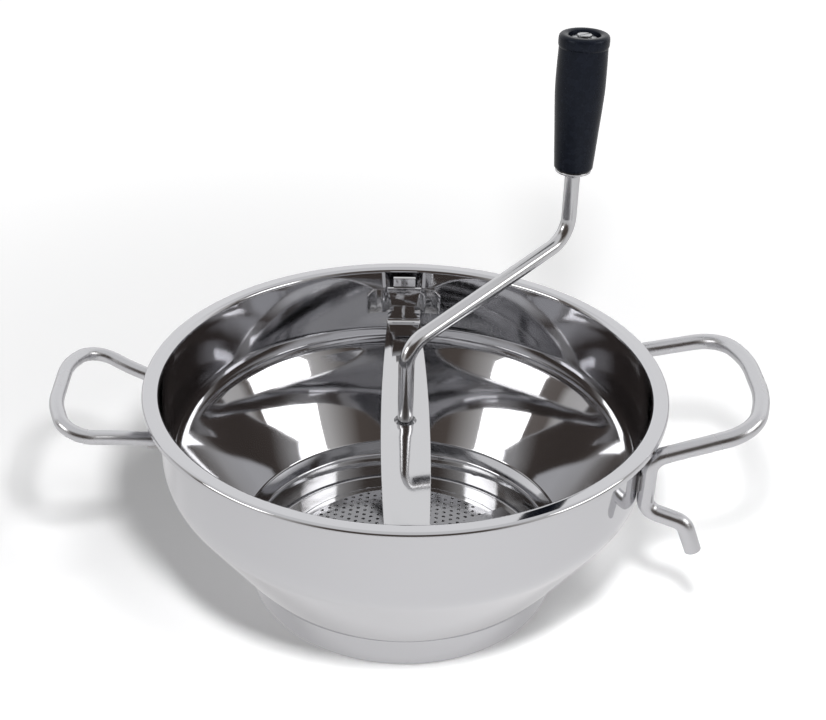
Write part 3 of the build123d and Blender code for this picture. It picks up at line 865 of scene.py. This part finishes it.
# ---- studio -----------------------------------------------------------------------------
def make_camera():
    data = bpy.data.cameras.new("camera")
    data.lens = CAMERA_LENS
    data.sensor_width = FILM_WIDTH
    data.clip_start = 0.01
    camera = bpy.data.objects.new("camera", data)
    bpy.context.scene.collection.objects.link(camera)
    aim = Matrix.Rotation(CAMERA_HEADING, 4, "Z") @ Matrix.Rotation(CAMERA_DOWN, 4, "X")
    aim = aim @ Matrix.Rotation(CAMERA_ROLL, 4, "Z")
    camera.matrix_world = Matrix.Translation(CAMERA_PLACE) @ aim
    bpy.context.scene.camera = camera


def softbox(name, place, target, width, height, power, spread=180.0):
    data = bpy.data.lights.new(name, "AREA")
    data.shape = "RECTANGLE"
    data.size = width
    data.size_y = height
    data.energy = power
    data.spread = math.radians(spread)
    lamp = bpy.data.objects.new(name, data)
    bpy.context.scene.collection.objects.link(lamp)
    lamp.location = place
    lamp.rotation_euler = (Vector(target) - Vector(place)).to_track_quat("-Z", "Y").to_euler()
    lamp.visible_camera = False
    return lamp


def node_sum(nodes, links, operation, first, second=None):
    """A Math node, whose inputs are other sockets or plain numbers."""
    node = nodes.new("ShaderNodeMath")
    node.operation = operation
    for socket, value in zip(node.inputs, (first, second)):
        if isinstance(value, bpy.types.NodeSocket):
            links.new(value, socket)
        elif value is not None:
            socket.default_value = value
    return node.outputs[0]


def make_floor():
    """White paper. It glows a little where it is looked at directly, and the metal mirrors it evenly."""
    mesh = bpy.data.meshes.new("floor")
    corners = [(x * PAPER_REACH, y * PAPER_REACH, 0) for x, y in ((-1, -1), (1, -1), (1, 1), (-1, 1))]
    mesh.from_pydata(corners, [], [(0, 1, 2, 3)])
    paper = bpy.data.materials.new("white paper")
    paper.use_nodes = True
    nodes, links = paper.node_tree.nodes, paper.node_tree.links
    shader = nodes["Principled BSDF"]
    shader.inputs["Base Color"].default_value = (*PAPER, 1.0)
    shader.inputs["Roughness"].default_value = PAPER_ROUGHNESS
    shader.inputs["Specular IOR Level"].default_value = PAPER_SHEEN
    shader.inputs["Emission Color"].default_value = (1.0, 1.0, 1.0, 1.0)
    place = nodes.new("ShaderNodeTexCoord")
    away = nodes.new("ShaderNodeVectorMath")
    away.operation = "LENGTH"
    links.new(place.outputs["Object"], away.inputs[0])
    glow = nodes.new("ShaderNodeMapRange")
    glow.inputs["From Min"].default_value = GLOW_FROM
    glow.inputs["From Max"].default_value = GLOW_TO
    glow.inputs["To Min"].default_value = GLOW_NEAR
    glow.inputs["To Max"].default_value = GLOW_FAR
    links.new(away.outputs["Value"], glow.inputs["Value"])
    path = nodes.new("ShaderNodeLightPath")
    outside = node_sum(nodes, links, "GREATER_THAN", away.outputs["Value"], FOOT_INSIDE)
    lit = node_sum(nodes, links, "MULTIPLY", outside, glow.outputs["Result"])
    whitening = node_sum(nodes, links, "MULTIPLY", lit, path.outputs["Is Camera Ray"])
    links.new(whitening, shader.inputs["Emission Strength"])
    mirrored = nodes.new("ShaderNodeEmission")
    mirrored.inputs["Color"].default_value = (*MIRRORED_PAPER, 1.0)
    mirrored.inputs["Strength"].default_value = MIRRORED_STRENGTH
    even = node_sum(nodes, links, "MULTIPLY", outside, MIRRORED_SHARE)
    share = node_sum(nodes, links, "MULTIPLY", path.outputs["Is Glossy Ray"], even)
    blend = nodes.new("ShaderNodeMixShader")
    links.new(share, blend.inputs["Fac"])
    links.new(shader.outputs["BSDF"], blend.inputs[1])
    links.new(mirrored.outputs["Emission"], blend.inputs[2])
    links.new(blend.outputs["Shader"], nodes["Material Output"].inputs["Surface"])
    mesh.materials.append(paper)
    floor = bpy.data.objects.new("floor", mesh)
    bpy.context.scene.collection.objects.link(floor)
    floor.location.z = -PAPER_DROP


def make_world():
    """Even soft light. The polished metal sees a dark front, grey and white bands, and a white back."""
    world = bpy.data.worlds.new("studio")
    bpy.context.scene.world = world
    world.use_nodes = True
    nodes, links = world.node_tree.nodes, world.node_tree.links
    background = nodes["Background"]
    path = nodes.new("ShaderNodeLightPath")
    way = nodes.new("ShaderNodeTexCoord")
    parts = nodes.new("ShaderNodeSeparateXYZ")
    links.new(way.outputs["Generated"], parts.inputs["Vector"])

    def ramp(value, stops):
        node = nodes.new("ShaderNodeValToRGB")
        while len(node.color_ramp.elements) < len(stops):
            node.color_ramp.elements.new(0.5)
        for element, (position, colour) in zip(node.color_ramp.elements, stops):
            element.position = position
            element.color = (*colour, 1.0)
        links.new(value, node.inputs["Fac"])
        return node.outputs["Color"]

    rise = parts.outputs["Z"]
    square = node_sum(nodes, links, "MULTIPLY", rise, rise)
    rest = node_sum(nodes, links, "SUBTRACT", NEARLY_ONE, square)
    level = node_sum(nodes, links, "SQRT", rest)
    ahead = node_sum(nodes, links, "DIVIDE", parts.outputs["Y"], level)
    half = node_sum(nodes, links, "MULTIPLY", ahead, 0.5)
    heading = node_sum(nodes, links, "ADD", half, 0.5)
    around = ramp(heading, STUDIO_ROUND)
    upward = ramp(rise, [(position, (share,) * 3) for position, share in STUDIO_UP])
    seen = nodes.new("ShaderNodeMix")
    seen.data_type = "RGBA"
    seen.inputs["B"].default_value = (*STUDIO_CEILING, 1.0)
    links.new(upward, seen.inputs["Factor"])
    links.new(around, seen.inputs["A"])
    choice = nodes.new("ShaderNodeMix")
    choice.data_type = "RGBA"
    choice.inputs["A"].default_value = (STUDIO_FILL, STUDIO_FILL, STUDIO_FILL, 1.0)
    links.new(path.outputs["Is Glossy Ray"], choice.inputs["Factor"])
    links.new(seen.outputs["Result"], choice.inputs["B"])
    links.new(choice.outputs["Result"], background.inputs["Color"])


def make_lamps():
    """Two softboxes that the steel mirrors, and two lamps that only light the scene and throw shadows."""
    glare = SOFTBOX_GLARE * math.pi * SOFTBOX_HEIGHT
    for name, place, target, width in (
        ("left softbox", (-0.76, -0.29, 0.52), (0.07, 0.08, 0.05), LEFT_WIDTH),
        ("right softbox", (0.81, -0.21, 0.52), (-0.07, 0.08, 0.05), RIGHT_WIDTH),
    ):
        softbox(name, place, target, width, SOFTBOX_HEIGHT, glare * width)
    high = softbox("high lamp", (0.43, -0.41, 1.26), (0, 0, 0), HIGH_SIZE, HIGH_SIZE, HIGH_POWER)
    near_place = (0.03, -0.37, 0.52)
    near = softbox("near lamp", near_place, (0.1, 0.1, 0), NEAR_SIZE, NEAR_SIZE, NEAR_POWER, NEAR_SPREAD)
    for lamp in (high, near):
        lamp.visible_glossy = False


make_bowl()
make_plain_handle()
make_hook_handle()
make_disc()
make_crank_rod()
make_grip()
make_blade()
make_spring()

STEEL_TRIM = [
    ("cross_bar", BAR_STEEL, POLISHED, "bar", 0.35),
    ("strap_rear", STRAP_STEEL, SATIN, "bowl_body", 0.25),
    ("strap_front", STRAP_STEEL, SATIN, "bowl_body", 0.25),
    ("disc_eyelet", PRESSED_STEEL, SATIN, "bowl_body", 0.25),
    ("blade_hub", PRESSED_STEEL, SATIN, "crank", 0.4),
    ("hub_pin", PRESSED_STEEL, SATIN, "crank", 0.2),
    ("spring_seat_upper", PRESSED_STEEL, SATIN, "bar", 0.25),
    ("spring_seat_lower", PRESSED_STEEL, SATIN, "spring_carrier", 0.25),
    ("grip_ferrule", ROD_STEEL, POLISHED, "crank", 0.4),
    ("grip_stop_ring", ROD_STEEL, POLISHED, "crank", 0.3),
    ("grip_washer", SCREW_STEEL, SATIN, "crank", 0.15),
    ("grip_screw", SCREW_STEEL, SATIN, "crank", 0.15),
    ("plain_handle_welds", WELD_STEEL, SATIN, "bowl_body", 0.3),
    ("hook_handle_welds", WELD_STEEL, SATIN, "bowl_body", 0.3),
]
for node, finish, slot, body, edge in STEEL_TRIM:
    softened(node, f"{node}_finished", finish, slot, body, edge)

make_floor()
make_world()
make_camera()
make_lamps()
bpy.context.scene.view_settings.view_transform = "Standard"
bpy.context.scene.cycles.glossy_bounces = MIRROR_BOUNCES
